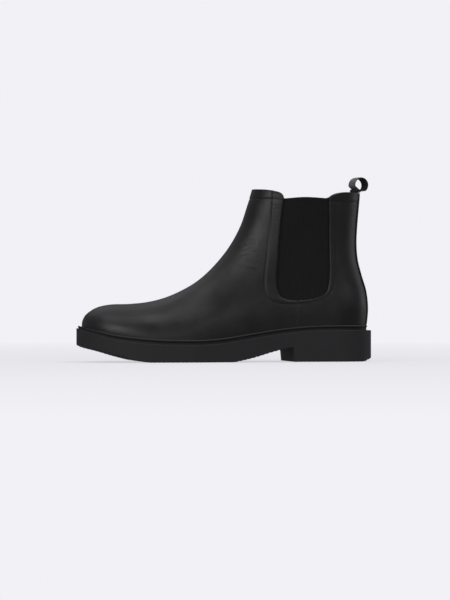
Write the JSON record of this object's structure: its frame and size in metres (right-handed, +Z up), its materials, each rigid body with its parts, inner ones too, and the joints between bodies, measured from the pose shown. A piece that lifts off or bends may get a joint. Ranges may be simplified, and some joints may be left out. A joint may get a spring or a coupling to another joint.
{
  "type": "chelsea boot",
  "caption": "Black leather ankle boot for the left foot, with elastic side gussets, a webbing pull loop and a ribbed rubber sole with a low block heel.",
  "frame": {"origin": "on the ground, under the middle of the boot's box", "axes": "toe towards -X, heel towards +X, outer (lateral) side of the foot towards -Y, +Z up"},
  "size_m": [0.3048, 0.1085, 0.1899],
  "materials": {
    "upper_leather": "smooth full grain, low sheen",
    "elastic": "matt vertical rib",
    "webbing": "woven, slight satin",
    "lining": "matt",
    "stiffener": "stiff felted sheet",
    "insole_fibre": "pressed fibre board",
    "cork": "granular cork",
    "steel": "plain spring steel",
    "foam": "open latex foam",
    "sock_leather": "smooth, slightly polished by the foot",
    "sole_rubber": "moulded, matt with a slight sheen on the edges"
  },
  "bodies": {
    "boot": {"vamp": "upper_leather", "quarter_lateral": "upper_leather", "quarter_medial": "upper_leather", "back_strip": "upper_leather", "gusset_lateral": "elastic", "gusset_medial": "elastic", "pull_loop_tails": "webbing", "vamp_lining": "lining", "quarter_lining": "lining", "toe_puff": "stiffener", "heel_counter": "stiffener", "insole_board": "insole_fibre", "filler": "cork", "shank": "steel", "shank_rivet_front": "steel", "shank_rivet_rear": "steel", "heel_pad": "foam", "sock_liner": "sock_leather", "welt": "sole_rubber", "outsole": "sole_rubber"},
    "loop": {"pull_loop": "webbing"}
  },
  "joints": [
    {"name": "loop_flop", "type": "hinge", "parent": "boot", "child": "loop", "pos_m": [0.136, 0, 0.1752], "axis": [-0.2079, 0.9781, 0], "range_deg": [-70, 10], "stiffness_Nm_per_rad": 0.002}
  ]
}
